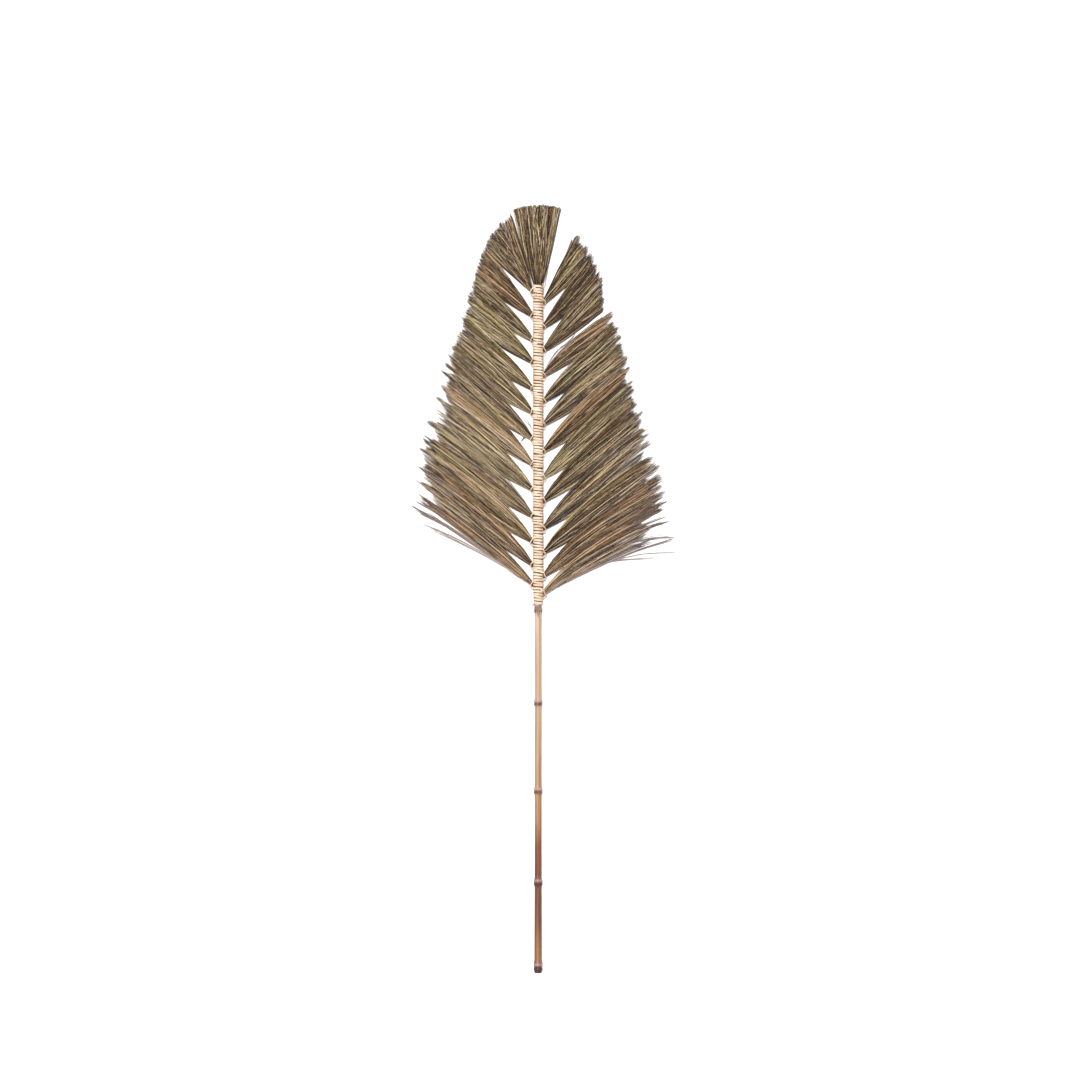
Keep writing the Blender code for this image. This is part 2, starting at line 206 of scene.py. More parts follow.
# Wisps: thin stalks that stand off the bundles. Each has its side, the points of its route in
# millimetres (outward from the axis, height above the butt), how many stalks it has, their
# tone and how grey they are.
Wisp = namedtuple("Wisp", "side route stalks tone fading")
RIGHT_LOW_FOOT = (10, 743)
LEFT_LOW_FOOT = (12, 757)
WISPS = [
    Wisp(1, [RIGHT_LOW_FOOT, (35, 751), (105, 786), (192, 823), (275, 848)], 8, 0.05, 0.8),
    Wisp(1, [RIGHT_LOW_FOOT, (60, 783), (140, 826), (205, 846), (275, 853)], 9, 0.02, 0.8),
    Wisp(1, [RIGHT_LOW_FOOT, (100, 815), (192, 861), (262, 883)], 12, 0.00, 0.6),
    Wisp(1, [RIGHT_LOW_FOOT, (100, 787), (192, 816), (278, 821)], 3, 0.35, 1.0),
    Wisp(1, [RIGHT_LOW_FOOT, (60, 770), (133, 801), (240, 810)], 3, 0.40, 1.0),
    Wisp(1, [RIGHT_LOW_FOOT, (90, 818), (180, 872), (252, 908)], 10, -0.05, 0.6),
    Wisp(1, [RIGHT_LOW_FOOT, (90, 815), (180, 862), (256, 893)], 6, 0.00, 0.8),
    Wisp(1, [RIGHT_LOW_FOOT, (60, 776), (150, 818), (235, 850)], 6, 0.10, 0.8),
    Wisp(-1, [LEFT_LOW_FOOT, (70, 798), (133, 840), (190, 880), (254, 919)], 9, 0.10, 0.7),
    Wisp(-1, [LEFT_LOW_FOOT, (90, 811), (172, 868), (248, 907)], 9, 0.05, 0.7),
    Wisp(-1, [LEFT_LOW_FOOT, (90, 815), (172, 880), (249, 927)], 6, 0.05, 0.8),
    Wisp(-1, [LEFT_LOW_FOOT, (80, 803), (162, 850), (240, 883)], 3, 0.40, 1.0),
    Wisp(-1, [LEFT_LOW_FOOT, (70, 794), (133, 829), (217, 870)], 4, 0.40, 1.0),
    Wisp(1, [(10, 1309), (39, 1373), (53, 1398), (70, 1442)], 4, 0.35, 0.8),
    Wisp(1, [(10, 1309), (37, 1366), (57, 1402), (77.5, 1441)], 4, 0.35, 0.8),
    Wisp(1, [(9, 1326), (11.7, 1333), (17.6, 1367), (28.9, 1433)], 2, 0.45, 0.9),
    Wisp(1, [(7.4, 1166), (20, 1190), (38, 1215), (56, 1228), (77, 1248)], 4, 0.15, 0.9),
    Wisp(1, [(10, 1017), (44.7, 1036), (66, 1056), (86.6, 1075)], 2, 0.40, 0.9),
    Wisp(-1, [(11, 1060), (13.7, 1065), (20, 1075), (27.3, 1083)], 3, 0.15, 1.0),
    Wisp(-1, [(35.1, 1034), (31, 1040), (27.3, 1045.5), (22, 1052)], 3, 0.15, 1.0),
]
WISP_STATIONS = np.array([0, 0.12, 0.25, 0.38, 0.5, 0.62, 0.74, 0.86, 0.97, 1])
WISP_RADII = np.array([0.34, 0.44, 0.52, 0.56, 0.58, 0.60, 0.60, 0.58, 0.48, 0]) * MM
WISP_WIDTHS = (0.75, 1.25)
WISP_SPREAD = 2.4 * MM
WISP_SPREAD_POWER = 1.5
WISP_TIP_HEIGHT = 1.2 * MM
WISP_SHORTEST = 0.93
WISP_TONE = 0.14
WISP_STEPS = 8

# Rattan strip: one helix from the binding's foot to its top
STRIP_PITCH = 5.5 * MM
STRIP_WIDTH = 4.9 * MM
STRIP_THICKNESS = 0.9 * MM
STRIP_STEPS = 28
STRIP_SECTION = [
    (-0.5, 0.0), (-0.46, 0.55), (-0.27, 0.9), (0.0, 1.0), (0.27, 0.9), (0.46, 0.55), (0.5, 0.0),
]
STRIP_WIDTHS = (0.74, 1.06)
STRIP_WANDER = 0.7 * MM
STRIP_LOOSENESS = 0.16 * MM

# Core seen between the turns: the bundles' butts, side by side
CORE_INSET = 1.0 * MM
CORE_MARGIN = 1.5 * MM
CORE_GROOVE = 0.35 * MM
CORE_RIBS = 22
CORE_SIDES = 88
CORE_STEP = 8 * MM

# Hitch round each side bundle's foot: (outward from the axis, up from the foot, above the axis)
HITCH_ROUTE = [
    (4.5, 6.4, 7.3), (8.0, 5.6, 6.4), (10.6, 3.6, 5.2), (12.6, 0.6, 4.9), (14.2, -3.0, 4.2),
    (14.4, -6.2, 2.6), (12.6, -8.4, 2.6), (9.6, -9.2, 5.0), (6.0, -9.4, 7.9), (1.5, -9.2, 9.1),
]
HITCH_STEPS = 5
HITCH_WIDTH = 3.0 * MM
HITCH_WIDTHS = (0.85, 1.1)
HITCH_RISE = 4 * MM
HITCH_THICKNESS = 1.0 * MM
HITCH_JITTER = 0.5 * MM

# Camera and light
CAMERA_AT = (-0.0091, 0.0946, 4.985)
CAMERA_LENS = 85
SUN_STRENGTH = 4.1
SUN_ANGLE = math.radians(14)
SUN_LEAN = (math.radians(-10), math.radians(-7))
SKY_COLOUR = (0.90, 0.88, 1.0)
SKY_STRENGTH = 0.66
LIGHT_GAIN = 1.25
FLOOR_SIZE = 14.0
FLOOR_DROP = 0.2 * MM
FLOOR_COLOUR = (0.93, 0.93, 0.93, 1)

# Node sockets of the colour mix, which share their names with those for numbers
MIX_FACTOR = 0
MIX_FIRST = 6
MIX_SECOND = 7
MIX_RESULT = 2


def mix(start, end, share):
    return start + (end - start) * share


def srgb(red, green, blue):
    """Linear surface colour that shows as an 8-bit sRGB one in the studio's light."""
    values = np.array([red, green, blue]) / 255
    linear = np.where(values <= 0.04045, values / 12.92, ((values + 0.055) / 1.055) ** 2.4)
    return (*(linear / LIGHT_GAIN).tolist(), 1.0)


# Node trees

def new_material(name, roughness, specular):
    material = bpy.data.materials.new(name)
    material.use_nodes = True
    tree = material.node_tree
    shader = tree.nodes["Principled BSDF"]
    shader.inputs["Roughness"].default_value = roughness
    shader.inputs["Specular IOR Level"].default_value = specular
    return material, tree, shader


def add_node(tree, kind, **settings):
    node = tree.nodes.new(kind)
    for name, value in settings.items():
        setattr(node, name, value)
    return node


def plug(tree, source, socket):
    """Link an output to a socket, or give the socket a plain value."""
    if isinstance(source, bpy.types.NodeSocket):
        tree.links.new(source, socket)
    else:
        socket.default_value = source


def read_attribute(tree, name):
    return add_node(tree, "ShaderNodeAttribute", attribute_name=name).outputs["Fac"]


def compute(tree, operation, first, second):
    node = add_node(tree, "ShaderNodeMath", operation=operation)
    plug(tree, first, node.inputs[0])
    plug(tree, second, node.inputs[1])
    return node.outputs["Value"]


def mix_colours(tree, factor, first, second, blend="MIX"):
    node = add_node(tree, "ShaderNodeMix", data_type="RGBA", blend_type=blend)
    plug(tree, factor, node.inputs[MIX_FACTOR])
    plug(tree, first, node.inputs[MIX_FIRST])
    plug(tree, second, node.inputs[MIX_SECOND])
    return node.outputs[MIX_RESULT]


def colour_ramp(tree, factor, stops):
    node = add_node(tree, "ShaderNodeValToRGB")
    elements = node.color_ramp.elements
    while len(elements) < len(stops):
        elements.new(1.0)
    for element, (position, colour) in zip(elements, stops):
        element.position = position
        element.color = colour
    plug(tree, factor, node.inputs["Fac"])
    return node.outputs["Color"]


def stretched_noise(tree, stretch, detail=3.0):
    """Noise in the object's own metres, with its own scale along X, Y and Z."""
    coordinates = add_node(tree, "ShaderNodeTexCoord")
    mapping = add_node(tree, "ShaderNodeMapping")
    mapping.inputs["Scale"].default_value = stretch
    tree.links.new(coordinates.outputs["Object"], mapping.inputs["Vector"])
    node = add_node(tree, "ShaderNodeTexNoise")
    node.inputs["Scale"].default_value = 1.0
    node.inputs["Detail"].default_value = detail
    tree.links.new(mapping.outputs["Vector"], node.inputs["Vector"])
    return node.outputs["Fac"]


def add_bump(tree, shader, height, distance, strength):
    node = add_node(tree, "ShaderNodeBump")
    node.inputs["Distance"].default_value = distance
    node.inputs["Strength"].default_value = strength
    tree.links.new(height, node.inputs["Height"])
    tree.links.new(node.outputs["Normal"], shader.inputs["Normal"])


# Materials

GRASS_TONES = [
    (0.0, srgb(44, 28, 13)),
    (0.28, srgb(114, 89, 54)),
    (0.5, srgb(166, 140, 97)),
    (0.74, srgb(206, 182, 137)),
    (1.0, srgb(242, 222, 186)),
]
GREEN_TINT = (0.92, 1.0, 0.72, 1.0)
RED_TINT = (1.0, 0.78, 0.62, 1.0)
TIP_COLOUR = srgb(176, 160, 158)
TIP_SHARE = 0.55
GRASS_MOTTLE = (420, 420, 420)
GRASS_MOTTLE_SHARE = 0.55
GRASS_GRAIN = (1800, 1800, 1800)


def grass_material():
    """Khaki stalks: each has its tone and warmth, and they fade to a mauve grey at their tips."""
    material, tree, shader = new_material("grass", 0.62, 0.35)
    mottle = compute(tree, "SUBTRACT", stretched_noise(tree, GRASS_MOTTLE), 0.5)
    shift = compute(tree, "MULTIPLY", mottle, GRASS_MOTTLE_SHARE)
    tone = compute(tree, "ADD", read_attribute(tree, "tone"), shift)
    colour = colour_ramp(tree, tone, GRASS_TONES)
    warmth = read_attribute(tree, "warmth")
    red = compute(tree, "MAXIMUM", warmth, 0.0)
    green = compute(tree, "MAXIMUM", compute(tree, "MULTIPLY", warmth, -1.0), 0.0)
    colour = mix_colours(tree, red, colour, RED_TINT, "MULTIPLY")
    colour = mix_colours(tree, green, colour, GREEN_TINT, "MULTIPLY")
    faded = compute(tree, "MULTIPLY", read_attribute(tree, "fading"), TIP_SHARE)
    colour = mix_colours(tree, faded, colour, TIP_COLOUR)
    tree.links.new(colour, shader.inputs["Base Color"])
    add_bump(tree, shader, stretched_noise(tree, GRASS_GRAIN, 2.0), 0.1 * MM, 0.5)
    return material


RATTAN_TONES = [
    (0.0, srgb(150, 108, 72)),
    (0.35, srgb(208, 172, 136)),
    (0.7, srgb(240, 214, 184)),
    (1.0, srgb(252, 240, 222)),
]
RATTAN_EDGE = srgb(96, 64, 42)
RATTAN_EDGE_POWER = 6.0
RATTAN_EDGE_SHARE = 0.75
RATTAN_PATCHES = (60, 45, 60)
FIBRES_ALONG = 45.0
FIBRES_ACROSS = 7.0
FIBRE_SHARE = 0.7
RATTAN_TONE_SHIFT = 0.25


def rattan_material():
    """Cream split strip: fibre streaks along it, darker and browner towards its edges."""
    material, tree, shader = new_material("rattan", 0.5, 0.45)
    fibres = add_node(tree, "ShaderNodeCombineXYZ")
    tree.links.new(compute(tree, "MULTIPLY", read_attribute(tree, "run"), FIBRES_ALONG), fibres.inputs["X"])
    across = read_attribute(tree, "across")
    tree.links.new(compute(tree, "MULTIPLY", across, FIBRES_ACROSS), fibres.inputs["Y"])
    streaks = add_node(tree, "ShaderNodeTexNoise")
    streaks.inputs["Scale"].default_value = 1.0
    streaks.inputs["Detail"].default_value = 4.0
    tree.links.new(fibres.outputs["Vector"], streaks.inputs["Vector"])
    patches = stretched_noise(tree, RATTAN_PATCHES)
    tone = compute(tree, "ADD", compute(tree, "MULTIPLY", streaks.outputs["Fac"], FIBRE_SHARE), patches)
    tone = compute(tree, "SUBTRACT", tone, RATTAN_TONE_SHIFT)
    colour = colour_ramp(tree, tone, RATTAN_TONES)
    edge = compute(tree, "POWER", compute(tree, "MULTIPLY", across, 2.0), RATTAN_EDGE_POWER)
    edge = compute(tree, "MULTIPLY", edge, RATTAN_EDGE_SHARE)
    colour = mix_colours(tree, edge, colour, RATTAN_EDGE)
    tree.links.new(colour, shader.inputs["Base Color"])
    add_bump(tree, shader, streaks.outputs["Fac"], 0.15 * MM, 0.6)
    return material


CORE_TONES = [
    (0.25, srgb(44, 30, 20)),
    (0.6, srgb(104, 76, 52)),
    (0.85, srgb(150, 118, 86)),
]
CORE_MOTTLE = (420, 40, 420)
CORE_GRAIN = (1500, 60, 1500)


def core_material():
    """Brown butts of the stalks, in the gaps between the turns."""
    material, tree, shader = new_material("binding_core", 0.7, 0.3)
    colour = colour_ramp(tree, stretched_noise(tree, CORE_MOTTLE), CORE_TONES)
    tree.links.new(colour, shader.inputs["Base Color"])
    add_bump(tree, shader, stretched_noise(tree, CORE_GRAIN), 0.2 * MM, 0.6)
    return material


# Bamboo: colours at heights above the butt, the dark scars and the pale bloom at its nodes
CANE_COLOURS = [
    (0 * MM, srgb(82, 46, 42)),
    (30 * MM, srgb(140, 98, 62)),
    (60 * MM, srgb(134, 92, 58)),
    (110 * MM, srgb(116, 76, 50)),
    (165 * MM, srgb(112, 70, 48)),
    (200 * MM, srgb(120, 70, 42)),
    (240 * MM, srgb(118, 72, 42)),
    (290 * MM, srgb(152, 112, 76)),
    (345 * MM, srgb(168, 128, 90)),
    (420 * MM, srgb(176, 142, 110)),
    (520 * MM, srgb(184, 152, 120)),
    (600 * MM, srgb(188, 158, 130)),
    (720 * MM, srgb(196, 170, 146)),
]
CANE_COLOURS_TOP = 750 * MM
SCAR_COLOUR = srgb(64, 36, 28)
BLOOM_COLOUR = srgb(176, 150, 150)
CUT_COLOUR = srgb(140, 104, 84)
CANE_MOTTLE = (60, 22, 60)
CANE_MOTTLE_SHARE = 0.10
CANE_BLOTCHES = (260, 160, 260)
BLOTCH_GAIN = 1.5
CANE_STREAKS = (520, 5, 520)
STREAK_SHARE = 0.75
STREAK_TONES = [
    (0.34, (0.42, 0.33, 0.26, 1)),
    (0.50, (0.92, 0.90, 0.86, 1)),
    (0.66, (1.30, 1.30, 1.26, 1)),
]
CANE_GRAIN = (900, 12, 900)


def bamboo_material():
    """Glossy culm: brown at the butt and cream near the plume, streaked along its length."""
    material, tree, shader = new_material("bamboo", 0.46, 0.3)
    stops = [(height / CANE_COLOURS_TOP, colour) for height, colour in CANE_COLOURS]
    mottle = compute(tree, "SUBTRACT", stretched_noise(tree, CANE_MOTTLE), 0.5)
    shift = compute(tree, "MULTIPLY", mottle, CANE_MOTTLE_SHARE)
    colour = colour_ramp(tree, compute(tree, "ADD", read_attribute(tree, "height"), shift), stops)
    streaks = colour_ramp(tree, stretched_noise(tree, CANE_STREAKS, 4.0), STREAK_TONES)
    colour = mix_colours(tree, STREAK_SHARE, colour, streaks, "MULTIPLY")
    blotches = compute(tree, "MULTIPLY", stretched_noise(tree, CANE_BLOTCHES, 5.0), BLOTCH_GAIN)
    bloom = compute(tree, "MULTIPLY", read_attribute(tree, "bloom"), blotches)
    colour = mix_colours(tree, bloom, colour, BLOOM_COLOUR)
    scar = compute(tree, "MULTIPLY", read_attribute(tree, "scar"), blotches)
    colour = mix_colours(tree, compute(tree, "MINIMUM", scar, 1.0), colour, SCAR_COLOUR)
    colour = mix_colours(tree, read_attribute(tree, "cut"), colour, CUT_COLOUR)
    tree.links.new(colour, shader.inputs["Base Color"])
    add_bump(tree, shader, stretched_noise(tree, CANE_GRAIN, 4.0), 0.12 * MM, 0.5)
    return material


# Meshes

def new_mesh(name, points, faces, material, attributes=None):
    """Smooth mesh from arrays of points, of faces with one number of corners each, and of values."""
    mesh = bpy.data.meshes.new(name)
    corners = np.concatenate([part.ravel() for part in faces]).astype(np.int32)
    sizes = np.concatenate([np.full(len(part), part.shape[1]) for part in faces])
    starts = (np.cumsum(sizes) - sizes).astype(np.int32)
    mesh.vertices.add(len(points))
    mesh.vertices.foreach_set("co", np.asarray(points, np.float32).ravel())
    mesh.loops.add(len(corners))
    mesh.loops.foreach_set("vertex_index", corners)
    mesh.polygons.add(len(sizes))
    mesh.polygons.foreach_set("loop_start", starts)
    mesh.update(calc_edges=True)
    mesh.shade_smooth()
    for label, values in (attributes or {}).items():
        layer = mesh.attributes.new(label, "FLOAT", "POINT")
        layer.data.foreach_set("value", np.asarray(values, np.float32).ravel())
    mesh.materials.append(material)
    item = bpy.data.objects.new(name, mesh)
    bpy.context.scene.collection.objects.link(item)
    return item


def put_on(item, slot, *nodes):
    """Ride on the one body and stand for CAD nodes, which are hidden; the slot is not used."""
    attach(item, BODY)
    if nodes:
        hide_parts(*nodes)
    return item


def unit(vectors):
    return vectors / np.linalg.norm(vectors, axis=-1, keepdims=True)


def axis_height(height):
    """Above the ground: level at the bundles, and lower towards the butt, which rests."""
    return np.interp(height, LEAN_SPAN, (BUTT_AXIS_HEIGHT, AXIS_HEIGHT))


def place(sideways, height, lift):
    """World points at a distance beside the cane's axis, up along it and above it."""
    x = CANE_OFFSET + sideways
    y = height - PLUME_LENGTH / 2
    z = axis_height(height) + lift
    return np.stack(np.broadcast_arrays(x, y, z), axis=-1)


def smooth_route(points, steps):
    """Smooth curve through points (Catmull-Rom), with a number of steps between each two."""
    padded = np.concatenate([2 * points[:1] - points[1:2], points, 2 * points[-1:] - points[-2:-1]])
    share = (np.arange(steps) / steps)[:, None]
    pieces = []
    for before, start, end, after in zip(padded, padded[1:], padded[2:], padded[3:]):
        slope = (end - before) / 2
        next_slope = (after - start) / 2
        bend = 3 * (end - start) - 2 * slope - next_slope
        twist = 2 * (start - end) + slope + next_slope
        pieces.append(start + slope * share + bend * share ** 2 + twist * share ** 3)
    return np.concatenate(pieces + [points[-1:]])


def tube_faces(rings, sides, closed_ends=True):
    """Quads between equal rings of points, and the two end faces if they are closed."""
    ring = np.arange(rings - 1)[:, None] * sides
    side = np.arange(sides)
    after = (side + 1) % sides
    quads = np.stack([ring + side, ring + after, ring + sides + after, ring + sides + side], axis=-1)
    faces = [quads.reshape(-1, 4)]
    if closed_ends:
        last = (rings - 1) * sides
        faces.append(np.stack([side[::-1], last + side]))
    return faces


def stalk_mesh(name, paths, radii, spins, material, attributes):
    """Closed three-sided stalks, each of which ends in a point."""
    count, steps = radii.shape
    forward = unit(np.gradient(paths, axis=1))
    sideways = unit(np.cross(forward, UP))
    across = np.cross(forward, sideways)
    turns = (spins[:, None] + np.arange(3) * 2 * math.pi / 3)[:, None, :, None]
    ring = np.cos(turns) * sideways[:, :, None] + np.sin(turns) * across[:, :, None]
    ring = paths[:, :, None] + radii[:, :, None, None] * ring
    points = np.concatenate([ring[:, :-1].reshape(count, -1, 3), paths[:, -1:]], axis=1)
    tip = 3 * (steps - 1)
    quads = tube_faces(steps - 1, 3, closed_ends=False)[0]
    sides = [(tip - 3, tip - 2, tip), (tip - 2, tip - 1, tip), (tip - 1, tip - 3, tip)]
    triangles = np.array([*sides, (0, 2, 1)])
    shift = (np.arange(count) * (tip + 1))[:, None, None]
    faces = [(quads + shift).reshape(-1, 4), (triangles + shift).reshape(-1, 3)]
    values = {}
    for label, value in attributes.items():
        along = np.broadcast_to(value, (count, steps))
        values[label] = np.concatenate([np.repeat(along[:, :-1], 3, axis=1), along[:, -1:]], axis=1)
    return new_mesh(name, points.reshape(-1, 3), faces, material, values)


def band_mesh(name, path, outward, widths, thicknesses, material):
    """Domed flat strip, closed at both ends, whose inner face lies on a path."""
    forward = unit(np.gradient(path, axis=0))
    outward = unit(outward - forward * np.sum(outward * forward, axis=1, keepdims=True))
    across = np.cross(forward, outward)
    section = np.array(STRIP_SECTION)
    reach = section[:, 0] * widths[:, None]
    rise = section[:, 1] * thicknesses[:, None]
    points = path[:, None] + across[:, None] * reach[..., None] + outward[:, None] * rise[..., None]
    faces = tube_faces(len(path), len(section))
    run = np.concatenate([[0.0], np.cumsum(np.linalg.norm(np.diff(path, axis=0), axis=1))])
    attributes = {
        "run": np.repeat(run, len(section)),
        "across": np.tile(section[:, 0], len(path)),
    }
    return new_mesh(name, points.reshape(-1, 3), faces, material, attributes)


# Bundles

def heading(degrees):
    """Unit (outward, height) at angles from the cane."""
    turn = np.radians(degrees)
    return np.stack([np.sin(turn), np.cos(turn)], axis=-1)


def arch(across):
    """Half section of a round bundle: 0 at its edges, 1 in the middle."""
    return np.sqrt(np.clip(1 - (2 * across - 1) ** 2, 0, 1))


def fan_root(bundle, form, across):
    """Where a stalk leaves the binding: (outward from the cane's axis, height)."""
    foot = np.full_like(across, bundle.foot * MM)
    if form is TOP_FORM:
        return np.stack([(2 * across - 1) * TOP_HALF_WIDTH, foot], axis=-1)
    return np.stack([np.full_like(across, FOOT_OUTER), foot + (0.5 - across) * FOOT_HEIGHT], axis=-1)


def fan_point(bundle, form, across, along):
    """Points (outward, height) of a fan: across from its upper edge to its lower, along to its tips."""
    angle = mix(bundle.upper_angle, bundle.lower_angle, across)
    length = (mix(bundle.upper_length, bundle.lower_length, across) * MM)[..., None]
    root = fan_root(bundle, form, across)
    knee = root + KNEE_SHARE * length * heading(mix(*bundle.starts, across))
    tip = np.array([form.base, bundle.foot * MM]) + length * heading(angle)
    along = along[..., None]
    rest = 1 - along
    return root * rest ** 2 + knee * 2 * rest * along + tip * along ** 2


def fan_width(bundle, form, along):
    edges = [fan_point(bundle, form, np.full_like(along, edge), along) for edge in (0.0, 1.0)]
    return np.linalg.norm(edges[0] - edges[1], axis=-1)


def fan_lift(bundle, form, across, along, layer):
    """Height of a stalk above the axis before its bundle sinks to the ground."""
    grown = np.clip(along / TILT_GROWN_AT, 0, 1)
    fade = np.clip(1 - along / FADE_END, 0, 1) ** FOOT_FADE
    half = TIP_HALF_DEPTH * grown + form.half_depth * arch(across) * fade
    tilt = grown * math.tan(form.tilt) * (0.5 - across) * fan_width(bundle, form, along)
    return tilt + layer * half


def settle(bundle, form, points, lift):
    """Lower a fan, in proportion to the distance from its foot, until its lower edge is on the ground."""
    origin = fan_root(bundle, form, np.array(0.5))
    end = np.array([1.0])
    edge_point = fan_point(bundle, form, across=end, along=end)
    edge_lift = fan_lift(bundle, form, across=end, along=end, layer=-end)
    slope = (AXIS_HEIGHT + edge_lift) / (np.linalg.norm(edge_point - origin, axis=-1) - STRAIGHT_REACH)
    reach = np.maximum(0, np.linalg.norm(points - origin, axis=-1) - STRAIGHT_REACH)
    return lift - slope * reach


Strands = namedtuple("Strands", "root tip end layer tone warmth fading")


def draw_locks(middle, width, draw):
    """Slow change across a bundle, as between locks of stalks from different plants."""
    knots = np.linspace(0, 1, round(width / LOCK_WIDTH) + 2)
    return np.interp(middle, knots, draw.normal(0, 1, len(knots)))


def draw_tufts(middle, width, draw):
    """Tips gathered in tufts of unlike lengths: where each goes, and how short its tuft is (0 to 1)."""
    tufts = round(width / TUFT_WIDTH) + 1
    edges = np.sort(draw.uniform(0, 1, tufts - 1))
    tuft = np.searchsorted(edges, middle)
    centres = np.zeros(tufts)
    for index in np.unique(tuft):
        centres[index] = middle[tuft == index].mean()
    return mix(middle, centres[tuft], TUFT_PULL), draw.random(tufts)[tuft]


def draw_strands(bundle, width, draw):
    """Seeded strands of a bundle: their places across it, how far they reach, and their looks."""
    count = round(width / STRAND_PITCH)
    middle = (np.arange(count) + 0.5 + draw.uniform(-STRAND_JITTER, STRAND_JITTER, count)) / count
    stray = draw.random(count) < STRAY_SHARE
    feathered = draw.random(count) < FEATHER_SHARE * bundle.fray * middle ** 2
    layer = draw.uniform(-LAYER_REACH, LAYER_REACH, count)
    gathered, shortened = draw_tufts(middle, width, draw)
    ragged = bundle.fray * (draw.beta(*RAGGED_SHAPE, count) + TUFT_SHARE * shortened)
    overreach = min(OVERREACH * bundle.fray, LONGEST_OVERREACH)
    depth = bundle.fray * mix(*FEATHER_DEPTHS, draw.random(count) ** FEATHER_SKEW)
    return Strands(
        root=middle + draw.normal(0, STRAND_CROSSING, count),
        tip=gathered + stray * draw.normal(0, STRAY_REACH, count),
        end=1 + overreach - ragged - feathered * depth,
        layer=layer,
        # The layer term is painted shade: lower strands are darker.
        tone=(MEAN_TONE + bundle.tone + LAYER_PAINTED_SHADE * layer + LOCK_TONE * draw_locks(middle, width, draw)
              + draw.normal(0, STRAND_TONE, count)),
        warmth=(bundle.warmth + LOCK_WARMTH * draw_locks(middle, width, draw)
                + draw.normal(0, STRAND_WARMTH, count)),
        fading=np.maximum(FADING_PER_FRAY * bundle.fray * middle ** 2, draw.random(count) < GREY_SHARE),
    )


def bundle_stalks(name, bundle, form, side, draw, material):
    """All the stalks of one bundle as one mesh, and the hairs at their tips as another.

    A main stalk starts at a small negative place along its route, inside the binding.
    """
    width = float(fan_width(bundle, form, np.array([1.0]))[0])
    strands = draw_strands(bundle, width, draw)
    count = STALKS_IN_STRAND * len(strands.tip)
    strand = draw.integers(0, len(strands.tip), count)
    main = draw.random(count) < MAIN_SHARE
    buried = -BURIED_LENGTH / (2 * KNEE_SHARE * bundle.upper_length * MM)
    start = np.where(main, buried, draw.uniform(*BRANCH_STARTS, count))
    end = strands.end[strand] - STALK_RAGGEDNESS * draw.random(count)
    along = mix(start[:, None], end[:, None], STATIONS)
    root = np.clip(strands.root[strand] + draw.normal(0, STALK_ROOT_SPREAD, count), 0, 1)
    tip = strands.tip[strand] + draw.normal(0, STALK_SPREAD / width, count)
    bow = draw.normal(0, STALK_BOW, count)[:, None] * np.sin(math.pi * np.clip(along, 0, 1))
    across = mix(root[:, None], tip[:, None], np.clip(along, 0, 1)) + bow
    layer = np.clip(strands.layer[strand] + draw.normal(0, STALK_LAYER_SPREAD, count), -1, 1)
    points = fan_point(bundle, form, across, along)
    lift = settle(bundle, form, points, fan_lift(bundle, form, across, along, layer[:, None]))
    radii = np.where(main[:, None], MAIN_RADII, BRANCH_RADII) * draw.uniform(*STALK_WIDTHS, count)[:, None]
    paths = place(side * points[..., 0], points[..., 1], lift)
    paths[..., 2] = np.maximum(paths[..., 2], radii)
    tone = strands.tone[strand] + draw.normal(0, STALK_TONE, count)
    station_tone = tone[:, None] + draw.normal(0, STATION_TONE, along.shape)
    fading = np.clip(strands.fading[strand], 0, 1)
    attributes = {
        "tone": station_tone,
        "warmth": np.clip(strands.warmth[strand], -1, 1)[:, None],
        "fading": fading[:, None] * mix(FOOT_FADING, 1.0, np.clip(along, 0, 1) ** 2),
    }
    spins = draw.uniform(0, 2 * math.pi, count)
    put_on(stalk_mesh(f"stalks_{name}", paths, radii, spins, material, attributes), "grass", name)
    build_hairs(f"hairs_{name}", bundle, paths, tone, strands.warmth[strand], draw, material)


def turned(headings, angles):
    """Headings turned about the vertical."""
    cosine, sine = np.cos(angles), np.sin(angles)
    x, y, z = headings[:, 0], headings[:, 1], headings[:, 2]
    return np.stack([x * cosine - y * sine, x * sine + y * cosine, z], axis=-1)


def build_hairs(name, bundle, paths, tone, warmth, draw, material):
    """Fine hairs that leave the ends of the stalks at small angles."""
    count = round(HAIRS_PER_FRAY * bundle.fray)
    stalk = draw.integers(0, len(paths), count)
    share = draw.uniform(0, 1, count)[:, None]
    root = mix(paths[stalk, -3], paths[stalk, -2], share)
    forward = unit(paths[stalk, -2] - paths[stalk, -3])
    turn = draw.normal(0, HAIR_TURN, count)
    curl = draw.normal(0, HAIR_CURL, count)
    length = draw.uniform(*HAIR_LENGTHS, count)
    points = []
    for station in HAIR_STATIONS:
        reach = (station * length)[:, None]
        points.append(root + reach * turned(forward, turn + curl * station))
    hairs = np.stack(points, axis=1)
    radii = np.broadcast_to(HAIR_RADII, (count, len(HAIR_STATIONS)))
    hairs[..., 2] = np.maximum(hairs[..., 2], radii)
    attributes = {
        "tone": (tone[stalk] + HAIR_TONE)[:, None],
        "warmth": np.clip(warmth[stalk], -1, 1)[:, None],
        "fading": np.full((count, 1), HAIR_FADING),
    }
    spins = draw.uniform(0, 2 * math.pi, count)
    put_on(stalk_mesh(name, hairs, radii, spins, material, attributes), "grass")


def side_bundles():
    """Name, side (-1 left, 1 right) and values of each side bundle."""
    for word, side, bundles in SIDES:
        for number, bundle in enumerate(bundles, start=1):
            yield f"{word}_{number:02d}", side, bundle


